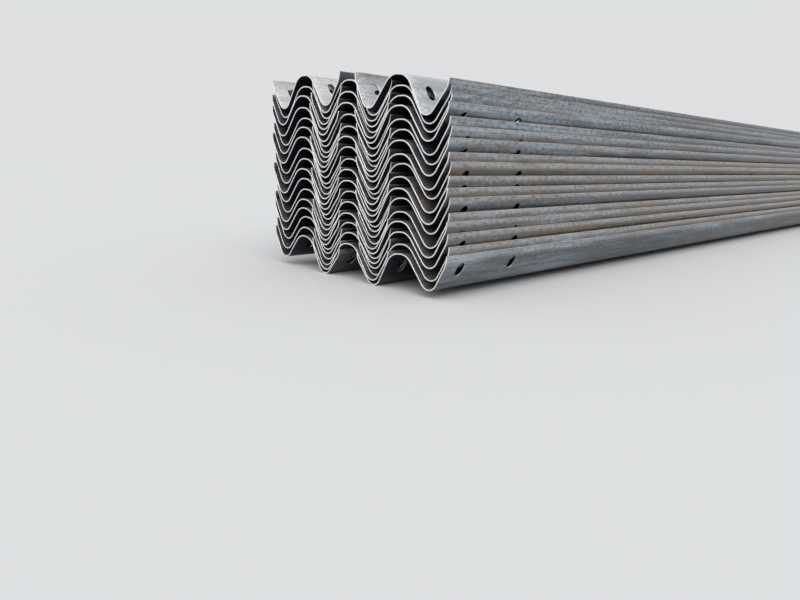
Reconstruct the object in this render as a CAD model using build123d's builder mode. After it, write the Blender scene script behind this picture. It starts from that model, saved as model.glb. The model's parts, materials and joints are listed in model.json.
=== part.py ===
from build123d import *
from math import cos, radians, sin, tan
import os

import numpy as np

# Bundle of two-wave steel guardrail beams, in millimetres.
# X runs across the bundle, Y along the beams, Z up. The origin is at the middle of the footprint.
# The beams lie with their two crests down and their flat web up, in three columns. The beams of
# the middle column lie between the layers of the outer two, so that neighbours share a valley.

# Rolled section
beam_length = 4300.0
section_width = 311.0
section_depth = 82.0
lip_length = 18.2
sheet = 3.0
web_flat = 8.5
crest_radius = 26.5
web_radius = 42.5
lip_radius = 40.0
flank_angle = 55.0
lip_angle = 81.0

# Slots of the splice bolts on the four flanks, and of the post bolt on the web
splice_slot_width = 24.0
splice_slot_length = 36.0
splice_slot_height = 46.0
splice_from_end = 55.0
splice_spacing = 190.0
post_slot_width = 20.0
post_slot_length = 65.0
slot_cut_depth = 10.0

# Stack. A turn is the angle by which a beam's right edge is up. It changes evenly from the bottom
# layer towards the late turn, then quickly over the last few layers to the top one.
layers = 17
seat_clearance = 0.1
left_turns = {"bottom": -6.6, "late": -5.8, "top": 0.0, "uneven": 0.4}
middle_turns = {"bottom": 0.5, "late": -2.4, "top": -4.2, "uneven": 0.4}
right_turns = {"bottom": 5.0, "late": 1.2, "top": -7.0, "uneven": 0.4}
late_power = 10
middle_drift = -14.0
unevenness_step = 135.0
unevenness_between_columns = 45.0
end_stagger = 5.0
stagger_step = 108.0
stagger_between_columns = 324.0

# How closely the beams are fitted to each other
outline_steps = 300
nesting_steps = 106

# Corners of the section's middle line, from the web out to the edge of the lip
rise = tan(radians(flank_angle))
crest_corner_z = sheet / 2 - crest_radius * (1 / cos(radians(flank_angle)) - 1)
web_z = section_depth - sheet / 2
web_corner_x = web_flat / 2 + web_radius * tan(radians(flank_angle) / 2)
crest_x = web_corner_x + (web_z - crest_corner_z) / rise
edge_x = section_width / 2 - sheet / 2 * sin(radians(lip_angle))
lip_corner_x = edge_x - lip_length * cos(radians(lip_angle))
lip_corner_z = crest_corner_z + (lip_corner_x - crest_x) * rise
edge_z = lip_corner_z + lip_length * sin(radians(lip_angle))
half_corners = [
    Vector(web_corner_x, web_z),
    Vector(crest_x, crest_corner_z),
    Vector(lip_corner_x, lip_corner_z),
    Vector(edge_x, edge_z),
]
corners = [Vector(-corner.X, corner.Y) for corner in reversed(half_corners)] + half_corners

# The radius at each bend, and the way it turns: 1 round a crest or into the lip, -1 beside the web
radii = [lip_radius, crest_radius, web_radius, web_radius, crest_radius, lip_radius]
bends = [1, 1, -1, -1, 1, 1]


def sheet_line(height):
    """The middle line moved upwards by height, measured square to the sheet."""
    runs = [(end - start).normalized() for start, end in zip(corners, corners[1:])]
    normals = [Vector(-run.Y, run.X) for run in runs]
    line = [corners[0] + normals[0] * height]
    for corner, before, after in zip(corners[1:], normals, normals[1:]):
        line.append(corner + (before + after) * (height / (1 + before.dot(after))))
    line.append(corners[-1] + normals[-1] * height)
    line_radii = [radius - bend * height for radius, bend in zip(radii, bends)]
    return FilletPolyline(*line, radius=line_radii)


with BuildSketch(Plane.XZ) as section:
    with BuildLine():
        upper_face = sheet_line(sheet / 2)
        lower_face = sheet_line(-sheet / 2)
        Line(upper_face @ 0, lower_face @ 0)
        Line(upper_face @ 1, lower_face @ 1)
    make_face()

# Plain beam, as rolled and cut to length
with BuildPart() as plain_beam:
    extrude(section.sketch, amount=beam_length / 2, both=True)

# Where the slots lie: the splice slots on each flank in two rows at each end, the post slot between
slot_from_crest = (splice_slot_height - crest_corner_z) / rise
splice_rows = [beam_length / 2 - splice_from_end, beam_length / 2 - splice_from_end - splice_spacing]
splice_ys = [sign * row for row in splice_rows for sign in (-1, 1)]
post_slot_y = sum(splice_rows) / 2


def flank_plane(side, outer):
    """The plane of a flank: side is -1 for left or 1 for right, outer is the flank beyond the crest."""
    direction = side if outer else -side
    slope = radians(flank_angle)
    return Plane(
        origin=(side * crest_x + direction * slot_from_crest, 0, splice_slot_height),
        x_dir=(0, 1, 0),
        z_dir=(-direction * sin(slope), 0, cos(slope)),
    )


def cut_splice_slots(side, outer):
    """Cuts one flank's four splice slots, longer across the beam than along it."""
    with BuildSketch(flank_plane(side, outer)) as slots:
        with Locations(*[(y, 0) for y in splice_ys]):
            SlotOverall(splice_slot_length, splice_slot_width, rotation=90)
    extrude(slots.sketch, amount=slot_cut_depth, both=True, mode=Mode.SUBTRACT)


def cut_post_slots():
    """Cuts the slot near each end of the web, which runs along the beam."""
    with BuildSketch(Plane.XY.offset(web_z)) as slots:
        with Locations((0, -post_slot_y), (0, post_slot_y)):
            SlotOverall(post_slot_length, post_slot_width, rotation=90)
    extrude(slots.sketch, amount=slot_cut_depth, both=True, mode=Mode.SUBTRACT)


with BuildPart() as punched_beam:
    add(plain_beam.part)
    for side in (-1, 1):
        for outer in (False, True):
            cut_splice_slots(side, outer)
    cut_post_slots()

# The outlines that meet in the stack: a beam's top from edge to edge, and its underside moved
# out by the clearance
steps = [step / outline_steps for step in range(outline_steps + 1)]
seat_line = sheet_line(-sheet / 2 - seat_clearance)
top_points = [lower_face @ 0] + [upper_face @ step for step in steps] + [lower_face @ 1]
seat_points = [seat_line @ step for step in steps]
top_outline = np.array([[point.X for point in top_points], [point.Y for point in top_points]])
seat_outline = np.array([[point.X for point in seat_points], [point.Y for point in seat_points]])


def turned(outline, turn):
    """An outline turned about the beam's origin, with a positive turn lifting its right edge."""
    across, up = outline
    angle = radians(turn)
    return np.array([across * cos(angle) - up * sin(angle), across * sin(angle) + up * cos(angle)])


def moved(outline, x, z):
    """An outline moved to its place in the stack."""
    return outline + np.array([[x], [z]])


def height_over(seat, top):
    """How far a beam has to be lifted for its underside to clear the top of another."""
    low = max(seat[0][0], top[0][0])
    high = min(seat[0][-1], top[0][-1])
    across = np.concatenate([seat[0], top[0]])
    across = across[(across >= low) & (across <= high)]
    if across.size == 0:
        return 0.0
    return (np.interp(across, *top) - np.interp(across, *seat)).max()


def turn_of(side, layer):
    """The turn of a beam of the left (-1), middle (0) or right (1) column."""
    turns = {-1: left_turns, 0: middle_turns, 1: right_turns}[side]
    highest = layers - 1 if side else layers - 2
    share = layer / highest
    slow = turns["bottom"] + (turns["late"] - turns["bottom"]) * share
    quick = (turns["top"] - turns["late"]) * share**late_power
    step = unevenness_step * (highest - layer) + unevenness_between_columns * (side + 1)
    return slow + quick + turns["uneven"] * sin(radians(step))


def middle_x_at(layer):
    """Where a beam of the middle column lies, as the column drifts to the left from layer to layer."""
    return middle_drift * layer / (layers - 1)


def nesting_x(side, layer):
    """Where a beam of an outer column lies deepest, between the middle beams below and above it."""
    turn = turn_of(side, layer)
    seat, top = turned(seat_outline, turn), turned(top_outline, turn)
    below, above = max(layer - 1, 0), min(layer, layers - 2)
    below_top = moved(turned(top_outline, turn_of(0, below)), middle_x_at(below), 0)
    above_seat = moved(turned(seat_outline, turn_of(0, above)), middle_x_at(above), 0)

    def pitch(x):
        return height_over(moved(seat, x, 0), below_top) + height_over(above_seat, moved(top, x, 0))

    shifts = np.linspace(-crest_radius, crest_radius, nesting_steps + 1)
    return min(middle_x_at(layer) + side * (2 * crest_x + shifts), key=pitch)


def stagger_of(side, layer):
    """How far a beam's ends stand back from those of the level beam at the top left."""
    step = stagger_step * (layers - 1 - layer) + stagger_between_columns * (side + 1)
    return end_stagger * sin(radians(step))


# Each layer has a beam in both outer columns, then one of the middle column across the two
places = {}
tops = []
for layer in range(layers):
    for column, side in (("left", -1), ("right", 1), ("middle", 0)):
        if side == 0 and layer == layers - 1:
            break
        turn = turn_of(side, layer)
        x = nesting_x(side, layer) if side else middle_x_at(layer)
        seat = moved(turned(seat_outline, turn), x, 0)
        z = max([-seat[1].min() - seat_clearance] + [height_over(seat, top) for top in tops])
        tops.append(moved(turned(top_outline, turn), x, z))
        places[f"{column}_beam_{layer + 1:02d}"] = (x, stagger_of(side, layer), z, turn)

# The stack is centred on the origin by the width that it takes up. Every real beam is punched
# alike. Here only the level beam at the top left is, which others are bolted to.
middle_x = (min(top[0].min() for top in tops) + max(top[0].max() for top in tops)) / 2
bolted_name = f"left_beam_{layers}"

os.makedirs("parts", exist_ok=True)
for name, (x, y, z, turn) in places.items():
    form = punched_beam if name == bolted_name else plain_beam
    with BuildPart() as beam:
        with Locations(Location((x - middle_x, y, z), (0, -turn, 0))):
            add(form.part)
    beam.part.label = name
    export_step(beam.part, f"parts/{name}.step")
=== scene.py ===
# %% [markdown]
# Bundle of guardrail beams. This lesson dresses a stack of fifty rolled steel beams. The frame from the
# CAD says where each beam lies. Here each one gets its bolt slots, its sheared ends and its skin of
# mill scale, the blue-grey oxide that hot-rolled steel carries before it is galvanised.

import json
from math import atan2, cos, degrees, hypot, pi, radians, sin, tan

import bmesh
import bpy
import numpy as np
from mathutils import Matrix, Vector

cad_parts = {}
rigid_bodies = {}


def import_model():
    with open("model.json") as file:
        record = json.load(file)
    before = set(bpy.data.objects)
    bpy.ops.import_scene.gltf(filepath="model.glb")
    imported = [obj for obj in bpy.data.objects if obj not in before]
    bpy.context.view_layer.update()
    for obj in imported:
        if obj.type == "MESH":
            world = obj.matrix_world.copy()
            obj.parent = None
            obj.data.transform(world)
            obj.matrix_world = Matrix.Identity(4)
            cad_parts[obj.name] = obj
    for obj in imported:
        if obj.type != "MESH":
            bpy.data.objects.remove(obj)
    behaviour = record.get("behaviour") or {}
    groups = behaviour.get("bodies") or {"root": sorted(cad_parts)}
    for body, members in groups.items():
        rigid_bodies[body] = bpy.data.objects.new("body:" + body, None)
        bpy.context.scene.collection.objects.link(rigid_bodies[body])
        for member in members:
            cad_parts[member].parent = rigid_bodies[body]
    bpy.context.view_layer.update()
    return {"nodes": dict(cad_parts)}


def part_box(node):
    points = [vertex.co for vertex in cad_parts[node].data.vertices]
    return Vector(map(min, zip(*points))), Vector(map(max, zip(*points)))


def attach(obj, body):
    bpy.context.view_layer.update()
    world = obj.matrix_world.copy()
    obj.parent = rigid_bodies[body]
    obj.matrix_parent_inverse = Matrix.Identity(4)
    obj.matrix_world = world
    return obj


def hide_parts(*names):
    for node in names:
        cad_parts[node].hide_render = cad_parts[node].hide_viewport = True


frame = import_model()
beam_names = sorted(frame["nodes"])

# %% [markdown]
# The photograph was taken from close by, low down at the bundle's front right corner, with a wide lens.
# Its vanishing points give the camera's direction and lens, and the width of the bundle its distance.
# Such a near viewpoint makes the ends of the sheets large and lets the sides run away fast, so a camera
# that only shared the direction would look wrong.

# %% Camera
image_width, image_height = 800, 600
camera_place = Vector((1.2312, -3.1217, 0.3054))
camera_azimuth, camera_tilt, camera_roll = radians(46.75), radians(12.94), radians(1.30)
focal_pixels = 612.8
sensor_width = 36.0

camera = bpy.data.objects.new("camera", bpy.data.cameras.new("camera"))
bpy.context.collection.objects.link(camera)
camera.data.sensor_width = sensor_width
camera.data.lens = focal_pixels / image_width * sensor_width
turned_to = Matrix.Rotation(camera_azimuth, 4, "Z") @ Matrix.Rotation(pi / 2 - camera_tilt, 4, "X")
camera.matrix_world = Matrix.Translation(camera_place) @ turned_to @ Matrix.Rotation(camera_roll, 4, "Z")
bpy.context.scene.camera = camera


def pixel_of(point):
    """Where a point of the scene falls in the picture."""
    seen = camera.matrix_world.inverted() @ Vector(point)
    across, up = seen.x / -seen.z * focal_pixels, seen.y / -seen.z * focal_pixels
    return round(image_width / 2 + across, 1), round(image_height / 2 - up, 1)


print("front right corner at", pixel_of((0.347, -2.15, 0.06)), "lens", round(camera.data.lens, 2))

# %% [markdown]
# A guardrail beam is a flat strip that rolls bend into two waves. The middle line of the sheet is drawn
# the same way, from the middle of the web outwards: straight runs are extruded, and each bend is a vertex
# spun about the centre of its roll. The runs are worked out from the section's real sizes. A vertex
# bevel on the sharp corners would be shorter, but on corners as tight as these its arcs aren't round.

# %% Sizes of the section
section_width, section_depth, sheet = 0.311, 0.082, 0.003
web_flat, lip_length = 0.0085, 0.0182
crest_radius, web_radius, lip_radius = 0.0265, 0.0425, 0.040
flank, lip = radians(55), radians(81)

crest_z = sheet / 2 - crest_radius * (1 / cos(flank) - 1)
web_z = section_depth - sheet / 2
web_x = web_flat / 2 + web_radius * tan(flank / 2)
crest_x = web_x + (web_z - crest_z) / tan(flank)
edge_x = section_width / 2 - sheet / 2 * sin(lip)
lip_x = edge_x - lip_length * cos(lip)
lip_z = crest_z + (lip_x - crest_x) * tan(flank)
edge_z = lip_z + lip_length * sin(lip)
corners = [(web_x, web_z), (crest_x, crest_z), (lip_x, lip_z), (edge_x, edge_z)]
print("corners of the half section, in mm:", [(round(x * 1000, 1), round(z * 1000, 1)) for x, z in corners])

# %% Draw the rounded line
beam_length = 4.300
# Points that lie closer together than this are one point
hair = 1e-6
crest_steps, web_steps, lip_steps = 14, 9, 5
crest_tangent = crest_radius * tan(flank)
web_tangent, lip_tangent = web_radius * tan(flank / 2), lip_radius * tan((lip - flank) / 2)
across_y = Vector((0, 1, 0))


def vertices_of(parts):
    """The vertices among the parts of a mesh that an operator gives back."""
    return [part for part in parts if isinstance(part, bmesh.types.BMVert)]


def run(wire, tip, slope, length):
    """Draws the line straight on, at a slope upwards from the level."""
    tip = bmesh.ops.extrude_vert_indiv(wire, verts=[tip])["verts"][0]
    bmesh.ops.translate(wire, vec=(length * cos(slope), 0, length * sin(slope)), verts=[tip])
    return tip


def bend(wire, tip, slope, angle, radius, steps):
    """Bends the line by an angle, upwards if it is positive, round a roll that touches it."""
    side = 1 if angle > 0 else -1
    roll_centre = tip.co + side * radius * Vector((-sin(slope), 0, cos(slope)))
    spun = bmesh.ops.spin(wire, geom=[tip], cent=roll_centre, axis=-across_y, angle=angle, steps=steps,
                          use_merge=False)
    return vertices_of(spun["geom_last"])[0]


beam = bmesh.new()
tip = beam.verts.new((0, -beam_length / 2, web_z))
tip = run(beam, tip, 0, web_x - web_tangent)
tip = bend(beam, tip, 0, -flank, web_radius, web_steps)
tip = run(beam, tip, -flank, hypot(crest_x - web_x, web_z - crest_z) - web_tangent - crest_tangent)
tip = bend(beam, tip, -flank, 2 * flank, crest_radius, crest_steps)
tip = run(beam, tip, flank, hypot(lip_x - crest_x, lip_z - crest_z) - crest_tangent - lip_tangent)
tip = bend(beam, tip, flank, lip - flank, lip_radius, lip_steps)
tip = run(beam, tip, lip, hypot(edge_x - lip_x, edge_z - lip_z) - lip_tangent)
bmesh.ops.remove_doubles(beam, verts=beam.verts, dist=hair)
lowest = min(v.co.z for v in beam.verts)
print("the line ends at", [round(c * 1000, 2) for c in tip.co.xz], "mm")
print("its lowest point is at", round(lowest * 1000, 2), "mm")

bmesh.ops.mirror(beam, geom=beam.verts[:] + beam.edges[:], axis="X", merge_dist=hair)
bmesh.ops.dissolve_verts(beam, verts=[v for v in beam.verts if abs(v.co.x) < hair])
line_points = sorted((v.co.x, v.co.z) for v in beam.verts)
line_x, line_z = zip(*line_points)
steps_along = [hypot(b[0] - a[0], b[1] - a[1]) for a, b in zip(line_points, line_points[1:])]
line_s = np.concatenate([[0], np.cumsum(steps_along)])
print(len(line_points), "points on the line, strip width", round(line_s[-1] * 1000, 1), "mm")

# %% [markdown]
# Both ends of every beam are punched: two slots in each of the four flanks at each end, where eight bolts
# splice it to the next beam, and a long slot in the web for the bolt of the post. The outer slots reach
# into the bend of the lip, so they are laid out on the flat strip, by how far across it a point lies, and
# go round the bend with the sheet. On a mesh a slot is easiest while the sheet has no thickness. Cuts
# along and across the strip part off a small rectangle, its faces are deleted, and its rim is extruded
# and drawn in to the outline of the slot. The thickness comes afterwards and makes the slots' walls.

# %% Draw the sheet out and part off the places of the slots
splice_ends = [0.055, 0.245]
post_end = 0.150
splice_height = 0.046
splice_size = (0.024, 0.036)
post_size = (0.065, 0.020)
# The rectangle that is parted off is larger than its slot by this margin all round
frame_margin = 0.003
# The cuts for a slot stay this near to it, and the slope of the sheet there is taken over a short step
near_across, slope_step = 0.05, 1e-4


def mirrored(values):
    """Each value with both signs."""
    return [sign * value for value in values for sign in (-1, 1)]


def across_at(x):
    """How far across the flat strip a point of the section lies."""
    return float(np.interp(x, line_x, line_s))


def on_strip(y, across):
    """The point of the bent sheet at a place on the flat strip."""
    x = np.interp(across, line_s, line_x)
    return Vector((x, y, np.interp(x, line_x, line_z)))


splice_ys = mirrored([beam_length / 2 - end for end in splice_ends])
post_ys = mirrored([beam_length / 2 - post_end])
slot_reach = (splice_height - crest_z) / tan(flank)
slot_xs = [side * (crest_x + out * slot_reach) for side in (-1, 1) for out in (-1, 1)]

# Each place: its middle along the beam and across the strip, and the slot's size in the same two ways
places = [(y, across_at(x), splice_size) for x in slot_xs for y in splice_ys]
places += [(y, across_at(0), post_size) for y in post_ys]

drawn = bmesh.ops.extrude_edge_only(beam, edges=beam.edges)["geom"]
bmesh.ops.translate(beam, vec=(0, beam_length, 0), verts=vertices_of(drawn))


def cut(place, direction, faces):
    """Cuts some of the sheet's faces along a plane."""
    edges = [e for e in beam.edges if any(f in faces for f in e.link_faces)]
    ends = [v for v in beam.verts if any(f in faces for f in v.link_faces)]
    bmesh.ops.bisect_plane(beam, geom=faces + edges + ends, plane_co=place, plane_no=direction, dist=hair)


for y, size in sorted({(y, size[0]) for y, across, size in places}):
    for sign in (-1, 1):
        cut((0, y + sign * (size / 2 + frame_margin), 0), across_y, beam.faces[:])


def offsets(point, y, across):
    """How far a point of the sheet lies from a slot's middle, along the beam and across the strip."""
    return point.y - y, across_at(point.x) - across


for y, across, size in places:
    for sign in (-1, 1):
        reach = across + sign * (size[1] / 2 + frame_margin)
        uphill = (on_strip(y, reach + slope_step) - on_strip(y, reach - slope_step)).normalized()
        away = [(f, offsets(f.calc_center_median(), y, reach)) for f in beam.faces]
        near = [f for f, (dy, ds) in away if abs(dy) < size[0] / 2 + frame_margin and abs(ds) < near_across]
        cut(on_strip(y, reach), uphill, near)
print(len(places), "slots,", len(beam.faces), "faces before they are punched")

# %% Punch the slots
# The rim is divided into steps of about this length, so that the slot's ends come out round
rim_step = 0.0039
# A point that lies this little outside the rectangle still counts as on it
slack = 1e-5


def punch(y, across, size):
    """Deletes the rectangle round a slot's middle and draws its rim in to the slot's outline."""
    reach = [length / 2 + frame_margin + slack for length in size]

    def in_rectangle(point):
        return all(abs(offset) < limit for offset, limit in zip(offsets(point, y, across), reach))

    faces = [f for f in beam.faces if in_rectangle(f.calc_center_median())]
    bmesh.ops.delete(beam, geom=faces, context="FACES")
    for edge in [e for e in beam.edges if e.is_boundary and all(in_rectangle(v.co) for v in e.verts)]:
        cuts = round(edge.calc_length() / rim_step) - 1
        if cuts > 0:
            bmesh.ops.subdivide_edges(beam, edges=[edge], cuts=cuts)
    rim = [e for e in beam.edges if e.is_boundary and all(in_rectangle(v.co) for v in e.verts)]
    drawn = bmesh.ops.extrude_edge_only(beam, edges=rim)["geom"]
    straight, radius = (max(size) - min(size)) / 2, min(size) / 2
    longer = size.index(max(size))
    for v in vertices_of(drawn):
        offset = np.array(offsets(v.co, y, across))
        nearest = np.zeros(2)
        nearest[longer] = np.clip(offset[longer], -straight, straight)
        dy, ds = nearest + radius * (offset - nearest) / np.linalg.norm(offset - nearest)
        v.co = on_strip(y + dy, across + ds)


for y, across, size in places:
    punch(y, across, size)


def order_of(place):
    """One number for a place: along the beam first, then across it, then up."""
    x, y, z = (round(c * 1e5) for c in place)
    return (y * 1e5 + x) * 1e5 + z


# The cuts leave the parts of the sheet in no fixed order, so they are put in the order of their places
beam.verts.sort(key=lambda v: order_of(v.co))
beam.edges.sort(key=lambda e: order_of((e.verts[0].co + e.verts[1].co) / 2))
beam.faces.sort(key=lambda f: order_of(f.calc_center_median()))
bmesh.ops.recalc_face_normals(beam, faces=beam.faces)
if sum(f.normal.z for f in beam.faces) < 0:
    bmesh.ops.reverse_faces(beam, faces=beam.faces)
print("punched sheet:", len(beam.faces), "faces")

# %% [markdown]
# The sheet now gets its 3 mm. The Solidify modifier grows it to both sides of the middle line and gives
# the two faces and the rim materials of their own: 0 above, 1 below, 2 on every cut edge. A sheared edge
# is never knife sharp, so the Bevel modifier takes the corners off. Their result is applied once, on the
# pattern that all the beams are copied from.

# %% Lay a map on the strip and give it its thickness
above, below, sheared, slit, inside = range(5)
corner_size = 0.0003
# Edges that turn by more than these angles are bevelled, and are shaded as sharp
bevel_from, sharp_from = radians(50), radians(32)

strip = beam.loops.layers.uv.new("strip")
for face in beam.faces:
    for loop in face.loops:
        loop[strip].uv = (loop.vert.co.y, across_at(loop.vert.co.x))

pattern_mesh = bpy.data.meshes.new("pattern")
beam.to_mesh(pattern_mesh)
beam.free()
pattern = bpy.data.objects.new("pattern", pattern_mesh)
bpy.context.collection.objects.link(pattern)
for name in ("above", "below", "sheared", "slit", "inside"):
    pattern_mesh.materials.append(bpy.data.materials.new(name))
thicken = pattern.modifiers.new("thickness", "SOLIDIFY")
thicken.thickness, thicken.offset, thicken.use_even_offset = sheet, 0, True
thicken.material_offset, thicken.material_offset_rim = below, sheared
corners_off = pattern.modifiers.new("corners", "BEVEL")
corners_off.width, corners_off.segments, corners_off.limit_method = corner_size, 1, "ANGLE"
corners_off.angle_limit = bevel_from
corners_off.material = sheared
solid = bpy.data.meshes.new_from_object(pattern.evaluated_get(bpy.context.evaluated_depsgraph_get()))
bpy.data.objects.remove(pattern)

# The long edges of the strip were slit in the mill long before the ends were sheared, so they have rusted
for face in solid.polygons:
    x, y, z = face.center
    on_long_edge = abs(x) > lip_x and z > edge_z - sheet and abs(y) < beam_length / 2 - sheet
    if face.material_index == sheared and on_long_edge:
        face.material_index = slit
solid.polygons.foreach_set("use_smooth", [True] * len(solid.polygons))
solid.set_sharp_from_angle(angle=sharp_from)
triangles = sum(len(f.vertices) - 2 for f in solid.polygons)
print("one beam has", len(solid.polygons), "faces,", triangles, "triangles")

# %% [markdown]
# Every beam of the frame is a straight length of the same section, so its two outermost corners at one
# end say how it lies: the line between them gives its turn, and their middle gives its place. The copies
# then fall exactly where the frame has its beams.

# %% Lay the beams
outer_corner_z = edge_z - sheet / 2 * cos(lip)
# Each beam's map is moved on by this much, so that no two beams show the same stretch of a pattern
strip_shift = 7.3
faces_in_all = 0


def lie_of(node):
    """The place and the turn of a beam of the frame."""
    front_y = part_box(node)[0].y
    front = [v.co for v in frame["nodes"][node].data.vertices if v.co.y < front_y + sheet]
    left, right = min(front, key=lambda co: co.x), max(front, key=lambda co: co.x)
    turn = atan2(right.z - left.z, right.x - left.x)
    middle = (left + right) / 2 - outer_corner_z * Vector((-sin(turn), 0, cos(turn)))
    return Vector((middle.x, front_y + beam_length / 2, middle.z)), turn


for number, name in enumerate(beam_names):
    place, turn = lie_of(name)
    mesh = solid.copy()
    mesh.transform(Matrix.Translation(place) @ Matrix.Rotation(-turn, 4, "Y"))
    shifts = np.zeros(len(mesh.loops) * 2, np.float32)
    mesh.uv_layers["strip"].data.foreach_get("uv", shifts)
    shifts[0::2] += strip_shift * number
    mesh.uv_layers["strip"].data.foreach_set("uv", shifts)
    piece = bpy.data.objects.new(f"steel_{name}", mesh)
    bpy.context.collection.objects.link(piece)
    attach(piece, "root")
    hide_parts(name)
    faces_in_all += len(mesh.polygons)
bpy.data.meshes.remove(solid)
print(len(beam_names), "beams laid,", faces_in_all, "faces")
print("the last lies at", [round(c, 4) for c in place], "turned by", round(degrees(turn), 2), "degrees")

# %% [markdown]
# Mill scale is not one colour. It is slate blue where it is whole, ash grey where the rolls have rubbed
# it thin, and brown where damp has got under it. All of that runs along the strip, because it was rolled
# and dragged that way, so the patterns are noise on the strip's own map, stretched along it. The nodes
# are put together by a few small helpers, so that each material below reads as a recipe.

# %% Helpers for the materials
def new_material(name):
    """An empty material with a shader, and its tree."""
    material = bpy.data.materials.new(name)
    material.use_nodes = True
    tree = material.node_tree
    return material, tree, tree.nodes["Principled BSDF"]


def strip_noise(tree, along, across, detail=5.0, roughness=0.6, distortion=0.0):
    """Noise on the strip's map, with so many patches to the metre along the strip and across it."""
    where = tree.nodes.new("ShaderNodeUVMap")
    where.uv_map = "strip"
    scaled = tree.nodes.new("ShaderNodeMapping")
    scaled.inputs["Scale"].default_value = (along, across, 1)
    noise = tree.nodes.new("ShaderNodeTexNoise")
    noise.inputs["Scale"].default_value = 1.0
    noise.inputs["Detail"].default_value = detail
    noise.inputs["Roughness"].default_value = roughness
    noise.inputs["Distortion"].default_value = distortion
    tree.links.new(where.outputs["UV"], scaled.inputs["Vector"])
    tree.links.new(scaled.outputs["Vector"], noise.inputs["Vector"])
    return noise.outputs["Fac"]


def spread(tree, value, low, high, to_low=0.0, to_high=1.0):
    """Stretches the part of a value between low and high over a new range."""
    node = tree.nodes.new("ShaderNodeMapRange")
    node.interpolation_type = "SMOOTHSTEP"
    for name, number in (("From Min", low), ("From Max", high), ("To Min", to_low), ("To Max", to_high)):
        node.inputs[name].default_value = number
    tree.links.new(value, node.inputs["Value"])
    return node.outputs["Result"]


def blend(tree, share, first, second):
    """Mixes two colours, each a tuple or a socket."""
    node = tree.nodes.new("ShaderNodeMix")
    node.data_type = "RGBA"
    tree.links.new(share, node.inputs["Factor"])
    for socket, colour in ((node.inputs["A"], first), (node.inputs["B"], second)):
        if isinstance(colour, tuple):
            socket.default_value = (*colour, 1)
        else:
            tree.links.new(colour, socket)
    return node.outputs["Result"]


def combine(tree, operation, first, second=0):
    """A sum, product or other result of a value with another value or a number."""
    node = tree.nodes.new("ShaderNodeMath")
    node.operation = operation
    tree.links.new(first, node.inputs[0])
    if isinstance(second, (int, float)):
        node.inputs[1].default_value = second
    else:
        tree.links.new(second, node.inputs[1])
    return node.outputs["Value"]


def dent(tree, shader, height, distance, strength):
    """Gives the surface its fine relief."""
    bump = tree.nodes.new("ShaderNodeBump")
    bump.inputs["Distance"].default_value = distance
    bump.inputs["Strength"].default_value = strength
    tree.links.new(height, bump.inputs["Height"])
    tree.links.new(bump.outputs["Normal"], shader.inputs["Normal"])


def from_edge(tree):
    """How far a point of the strip lies from its nearer long edge, in metres."""
    where = tree.nodes.new("ShaderNodeUVMap")
    where.uv_map = "strip"
    split = tree.nodes.new("ShaderNodeSeparateXYZ")
    tree.links.new(where.outputs["UV"], split.inputs["Vector"])
    from_middle = combine(tree, "ABSOLUTE", combine(tree, "SUBTRACT", split.outputs["Y"], strip_width / 2))
    return combine(tree, "MULTIPLY", combine(tree, "SUBTRACT", from_middle, strip_width / 2), -1)


def from_end(tree):
    """How far a point lies from the nearer end of the bundle, in metres."""
    where = tree.nodes.new("ShaderNodeTexCoord")
    split = tree.nodes.new("ShaderNodeSeparateXYZ")
    tree.links.new(where.outputs["Object"], split.inputs["Vector"])
    from_middle = combine(tree, "ABSOLUTE", split.outputs["Y"])
    return combine(tree, "MULTIPLY", combine(tree, "SUBTRACT", from_middle, beam_length / 2), -1)


def beam_value(tree, name):
    """A value that each beam carries for itself."""
    carried = tree.nodes.new("ShaderNodeAttribute")
    carried.attribute_name = name
    return carried.outputs["Fac"]


strip_width = float(line_s[-1])
print("strip width", round(strip_width, 4))

# %% [markdown]
# The beams of one bundle were not all rolled from the same coil, so some are browner than others and some
# paler. Each beam carries the two values along, as attributes of its mesh. Those of the right column show
# side by side, so they are chosen one by one from the photograph: the upper ones bluish, the lower ones
# brownish, and one well rusted. The others are drawn from a seeded generator, but their top layers are
# hardly brown either.

# %% The tone of each beam
# The right column's beams from the bottom to the top
right_brownness = [0.38, 0.60, 0.75, 0.60, 0.50, 0.40, 0.70, 0.50, 1.05, 0.60, 0.45, 0.30, 0.10, 0.12,
                   0.05, 0.05, 0.05]
right_paleness = [0.70, 0.66, 0.52, 0.61, 0.66, 0.42, 0.71, 0.52, 1.10, 0.61, 0.64, 0.61, 0.55, 0.60,
                  0.55, 0.50, 0.40]
draw = np.random.default_rng(seed=17)
# From this layer up a beam is hardly brown
clean_from, clean_brownness = 16, 0.05


def column_and_layer(piece):
    """Which column a beam lies in, and in which layer, from 1 at the bottom."""
    words = piece.name.split("_")
    return words[1], int(words[-1])


pieces = [o for o in bpy.data.objects if o.name.startswith("steel_")]
for piece in sorted(pieces, key=lambda o: o.name):
    column, layer = column_and_layer(piece)
    brownness = draw.uniform(0, 0.6) if layer < clean_from else clean_brownness
    values = {"brownness": brownness, "paleness": draw.uniform(0.3, 0.7)}
    if column == "right":
        values = {"brownness": right_brownness[layer - 1], "paleness": right_paleness[layer - 1]}
    for name, value in values.items():
        attribute = piece.data.attributes.new(name, "FLOAT", "POINT")
        attribute.data.foreach_set("value", np.full(len(piece.data.vertices), value, np.float32))
print(len(pieces), "beams toned")
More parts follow.
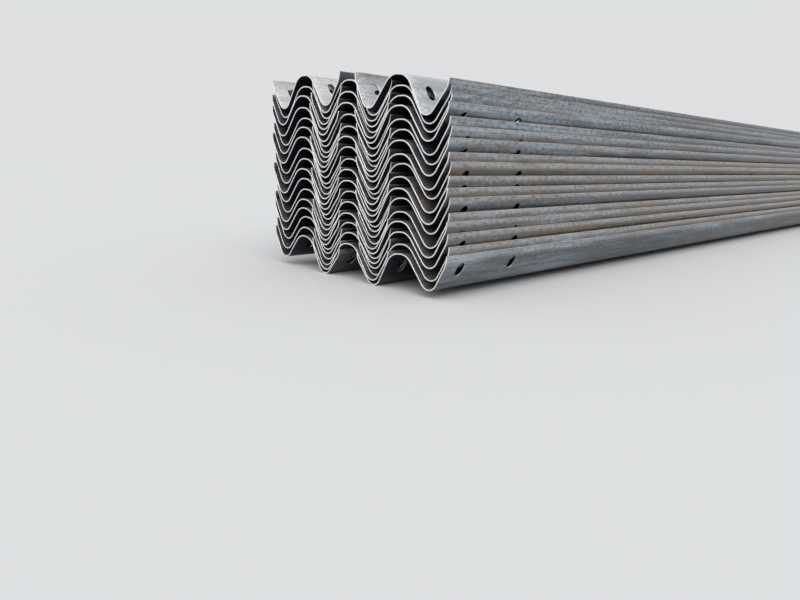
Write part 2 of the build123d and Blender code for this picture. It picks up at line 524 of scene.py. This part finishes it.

# %% [markdown]
# The scale is a recipe of layers. Streaks, clouds, blotches and dust mix the dark scale with the pale.
# Brown stains spread as far as the beam's own value lets them, and small dark specks lie over that. The lip
# has been rubbed pale towards its edge. A little further from the edge, where the next lip covers the
# strip, patches of painted shade darken it. The very corner, where the coil was slit, is a fine bright line
# of bare and rusty steel. The tone is painted darker towards the middle of the length, as painted shade for
# dimmer reflections there, and the brown is a little stronger there. The top layer's faces turn paler near
# the ends. Further from the lip's edge, deep in the stack, the scale is painted nearly black as painted
# shade.

# %% Mill scale
# The soot colour darkens the specks. It also paints shade on the strip below the next lip.
brown, rust, soot_and_shade = (0.205, 0.178, 0.150), (0.34, 0.225, 0.14), (0.06, 0.06, 0.062)
# The near-black is painted shade for where the stack hides the sheet.
rubbed_steel, slit_corner, painted_stack_shade = (0.64, 0.635, 0.62), (0.68, 0.60, 0.54), (0.020, 0.026, 0.037)
edge_stain, washed = (0.27, 0.20, 0.16), (0.76, 0.755, 0.75)
# The sums of the layers between which dark scale turns into pale
pale_from, pale_to = 0.99, 1.27


def scale_material(name, dark, light, shade_beyond=None, brown_share=0.6, lower_shade_share=0.0, rub_share=0.3,
                   rust_band=0.004, end_share=0.0):
    """One skin of scale. Its fourth argument, if given, is how far from the lip's edge the scale turns to
    painted shade, nearly black.
    """
    material, tree, shader = new_material(name)
    streaks = strip_noise(tree, 2.2, 85, detail=9, roughness=0.66)
    clouds = strip_noise(tree, 1.3, 9, detail=5, roughness=0.6)
    patches = strip_noise(tree, 3.0, 26, detail=9, roughness=0.72, distortion=0.3)
    blotches = strip_noise(tree, 16, 26, detail=6, roughness=0.68)
    dust = strip_noise(tree, 70, 120, detail=6, roughness=0.75)
    specks = strip_noise(tree, 75, 130, detail=6, roughness=0.8)
    grain = strip_noise(tree, 300, 700, detail=3)

    inwards = from_edge(tree)
    # Rises from the ends to the middle of the length. The tone is painted darker with it, as painted shade
    # for dimmer reflections there, and the brown a little stronger.
    middle = spread(tree, from_end(tree), 0.2, 1.6)

    tone = combine(tree, "MULTIPLY", middle, -0.09)
    paleness = beam_value(tree, "paleness")
    for layer, share in ((streaks, 0.75), (clouds, 0.25), (blotches, 0.10), (dust, 0.75), (paleness, 0.40)):
        tone = combine(tree, "ADD", tone, combine(tree, "MULTIPLY", layer, share))
    colour = blend(tree, spread(tree, tone, pale_from, pale_to), dark, light)

    brownness = beam_value(tree, "brownness")
    browned = combine(tree, "ADD", patches, combine(tree, "MULTIPLY", brownness, 0.30))
    browned = combine(tree, "ADD", browned, combine(tree, "MULTIPLY", middle, 0.05))
    colour = blend(tree, spread(tree, browned, 0.50, 0.76, 0, brown_share), colour, brown)
    # Painted shade: some way below the lip's edge, where the next lip covers the strip, patches are
    # darkened.
    painted_lower_shade = combine(tree, "MULTIPLY", spread(tree, inwards, 0.009, 0.024, 0, lower_shade_share),
                    spread(tree, clouds, 0.42, 0.60, 0.2, 1))
    colour = blend(tree, painted_lower_shade, colour, soot_and_shade)
    worn = combine(tree, "SUBTRACT", inwards, combine(tree, "MULTIPLY", brownness, 0.008))
    rubbed = combine(tree, "MULTIPLY", spread(tree, worn, -0.002, 0.011, 1, 0),
                     spread(tree, dust, 0.32, 0.60, 0, rub_share))
    colour = blend(tree, rubbed, colour, rubbed_steel)
    rusted = combine(tree, "ADD", blotches, combine(tree, "MULTIPLY", browned, 0.55))
    rusted = combine(tree, "MULTIPLY", spread(tree, rusted, 0.93, 1.08, 0, 0.8),
                     spread(tree, inwards, 0.003, 0.012))
    colour = blend(tree, rusted, colour, rust)
    colour = blend(tree, spread(tree, specks, 0.63, 0.73, 0, 0.6), colour, soot_and_shade)
    stained = combine(tree, "MULTIPLY", spread(tree, inwards, 0.0, rust_band, 1, 0),
                      spread(tree, patches, 0.40, 0.60, 0, 0.75))
    colour = blend(tree, stained, colour, edge_stain)
    corner = combine(tree, "MULTIPLY", spread(tree, inwards, 0.0010, 0.0026, 1, 0),
                     spread(tree, blotches, 0.38, 0.60, 0.1, 0.95))
    colour = blend(tree, corner, colour, blend(tree, spread(tree, patches, 0.42, 0.60), slit_corner, rust))
    # Painted shade: past that distance from the lip's edge, where the stack hides the sheet, the scale is
    # painted nearly black.
    if shade_beyond:
        colour = blend(tree, spread(tree, inwards, shade_beyond, shade_beyond * 1.5), colour, painted_stack_shade)
    if end_share:
        at_end = combine(tree, "MULTIPLY", spread(tree, from_end(tree), 0.0, 0.030, 1, 0),
                         spread(tree, dust, 0.40, 0.60, 0, end_share))
        colour = blend(tree, at_end, colour, washed)
    tree.links.new(colour, shader.inputs["Base Color"])

    shader.inputs["Metallic"].default_value = 0.15
    shader.inputs["Specular IOR Level"].default_value = 0.4
    tree.links.new(spread(tree, tone, pale_from, pale_to, 0.40, 0.58), shader.inputs["Roughness"])
    relief = combine(tree, "ADD", grain, combine(tree, "MULTIPLY", streaks, 2.0))
    dent(tree, shader, relief, distance=0.00015, strength=0.5)
    return material


# The darker scale is painted shade for faces inside the stack. The side and top scales are the same mill
# scale where it lies open.
shaded_scale, shaded_scale_light = (0.032, 0.040, 0.052), (0.095, 0.11, 0.13)
side_scale, side_scale_light = (0.135, 0.176, 0.222), (0.55, 0.64, 0.72)
top_scale, top_scale_light = (0.36, 0.378, 0.405), (0.60, 0.585, 0.57)
steel_above_shaded = scale_material("mill_scale_above", shaded_scale, shaded_scale_light)
steel_inside_shaded = scale_material("mill_scale_inside", shaded_scale, shaded_scale_light, shade_beyond=0.030,
                              brown_share=0.35, rub_share=0.15)
steel_side = scale_material("mill_scale_side", side_scale, side_scale_light, shade_beyond=0.036, brown_share=0.8,
                            lower_shade_share=0.72, rub_share=0.85)
steel_bottom = scale_material("mill_scale_bottom", side_scale, side_scale_light, shade_beyond=0.10, brown_share=0.8,
                              lower_shade_share=0.45, rub_share=0.5)
steel_top = scale_material("mill_scale_top", top_scale, top_scale_light, brown_share=0.35, rub_share=0.2,
                           rust_band=0.014, end_share=0.8)
print("five mill scales")

# %% [markdown]
# Where steel was sheared it is bright. The shear tears the last third of the sheet, so the cut has a
# matt, streaky look rather than a polish. The slit long edges are older and have a thin skin of rust.

# %% Sheared and slit edges
def edge_material(name, light, dark, metallic, roughness):
    """The skin of a cut edge, streaked from a light tone to a dark one."""
    material, tree, shader = new_material(name)
    lines = strip_noise(tree, 90, 160, detail=4)
    tree.links.new(blend(tree, spread(tree, lines, 0.35, 0.7), light, dark), shader.inputs["Base Color"])
    shader.inputs["Metallic"].default_value = metallic
    streaked = spread(tree, lines, 0.3, 0.7, roughness - 0.08, roughness + 0.12)
    tree.links.new(streaked, shader.inputs["Roughness"])
    dent(tree, shader, lines, distance=0.0002, strength=0.4)
    return material


steel_sheared = edge_material("sheared_edge", (0.98, 0.97, 0.95), (0.84, 0.83, 0.81), 1.0, 0.42)
steel_slit = edge_material("slit_edge", (0.66, 0.58, 0.50), (0.36, 0.26, 0.19), 0.0, 0.6)

# %% [markdown]
# The same face of a beam gets a lighter or a darker copy of the scale by where it lies, and the darker copy
# is painted shade. The undersides that look to the outside are side scale, and those of the bottom layer
# show whole. Those that look into the stack, with all of the middle column's, are painted dark as shade.
# The faces that look up show well only on the top layer, and below it they are painted dark as shade.

# %% Put the materials on
for piece in pieces:
    column, layer = column_and_layer(piece)
    top_layer = piece.name in ("steel_left_beam_17", "steel_middle_beam_16", "steel_right_beam_17")
    piece.data.materials[above] = steel_top if top_layer else steel_above_shaded
    piece.data.materials[below] = steel_bottom if layer == 1 else steel_side
    piece.data.materials[sheared] = steel_sheared
    piece.data.materials[slit] = steel_slit
    piece.data.materials[inside] = steel_inside_shaded
    # Undersides that look into the stack get the darker scale, as painted shade.
    if layer > 1:
        xs = [v.co.x for v in piece.data.vertices]
        web = (min(xs) + max(xs)) / 2
        outward = {"left": -1, "middle": 0, "right": 1}[column]
        for face in piece.data.polygons:
            if face.material_index == below and outward * (face.center.x - web) <= 0:
                face.material_index = inside
print("materials on", len(pieces), "beams")

# %% [markdown]
# The light is that of an overcast day. The sky gives part of it, a little blue and dim near the horizon,
# so that less reaches the side than the top. A very wide sun gives the rest, from the camera's side, so
# that the folds are modelled but no shadow has an edge. The camera and the reflections see a pale plain
# background of their own, which adds no diffuse light, and the floor throws back only a little, so that
# the undersides stay dark.

# %% Floor, lamp and world
floor_size = 60.0


def by_ray(tree, seen_shader, lit_shader, output):
    """Shows one shader to the camera and in reflections, and lights the object with the other."""
    ray = tree.nodes.new("ShaderNodeLightPath")
    seen = combine(tree, "MAXIMUM", ray.outputs["Is Camera Ray"], ray.outputs["Is Glossy Ray"])
    seen = combine(tree, "MAXIMUM", seen, ray.outputs["Is Transmission Ray"])
    which = tree.nodes.new("ShaderNodeMixShader")
    tree.links.new(seen, which.inputs["Fac"])
    tree.links.new(lit_shader, which.inputs[1])
    tree.links.new(seen_shader, which.inputs[2])
    tree.links.new(which.outputs["Shader"], output.inputs["Surface"])


floor_mesh = bpy.data.meshes.new("floor")
ground = bmesh.new()
bmesh.ops.create_grid(ground, x_segments=1, y_segments=1, size=floor_size / 2)
ground.to_mesh(floor_mesh)
ground.free()
floor = bpy.data.objects.new("floor", floor_mesh)
bpy.context.collection.objects.link(floor)
floor_material, floor_tree, floor_shader = new_material("floor")
floor_shader.inputs["Base Color"].default_value = (0.62, 0.615, 0.61, 1)
floor_shader.inputs["Roughness"].default_value = 0.9
floor_shader.inputs["Specular IOR Level"].default_value = 0.1
dim_floor = floor_tree.nodes.new("ShaderNodeBsdfDiffuse")
dim_floor.inputs["Color"].default_value = (0.12, 0.12, 0.12, 1)
by_ray(floor_tree, floor_shader.outputs["BSDF"], dim_floor.outputs["BSDF"],
       floor_tree.nodes["Material Output"])
floor_mesh.materials.append(floor_material)

world = bpy.data.worlds.new("studio")
bpy.context.scene.world = world
world.use_nodes = True
sky_tree = world.node_tree
sky = sky_tree.nodes["Background"]
overhead = sky_tree.nodes.new("ShaderNodeSeparateXYZ")
sky_tree.links.new(sky_tree.nodes.new("ShaderNodeTexCoord").outputs["Generated"], overhead.inputs["Vector"])
height = spread(sky_tree, overhead.outputs["Z"], 0.0, 0.7)
sky_tree.links.new(blend(sky_tree, height, (0.10, 0.105, 0.11), (0.80, 0.84, 0.88)), sky.inputs["Color"])
backdrop = sky_tree.nodes.new("ShaderNodeBackground")
backdrop.inputs["Color"].default_value = (0.735, 0.745, 0.755, 1)
by_ray(sky_tree, backdrop.outputs["Background"], sky.outputs["Background"], sky_tree.nodes["World Output"])

sun = bpy.data.objects.new("sun", bpy.data.lights.new("sun", "SUN"))
bpy.context.collection.objects.link(sun)
sun.data.energy, sun.data.angle = 2.0, radians(80)
sun.rotation_euler = (-Vector((0.55, -0.65, 1))).to_track_quat("-Z", "Y").to_euler()

bpy.context.scene.view_settings.view_transform = "Standard"
shines = sun.rotation_euler.to_matrix() @ Vector((0, 0, -1))
print("floor", floor_size, "m wide, the sun shines along", [round(c, 2) for c in shines])
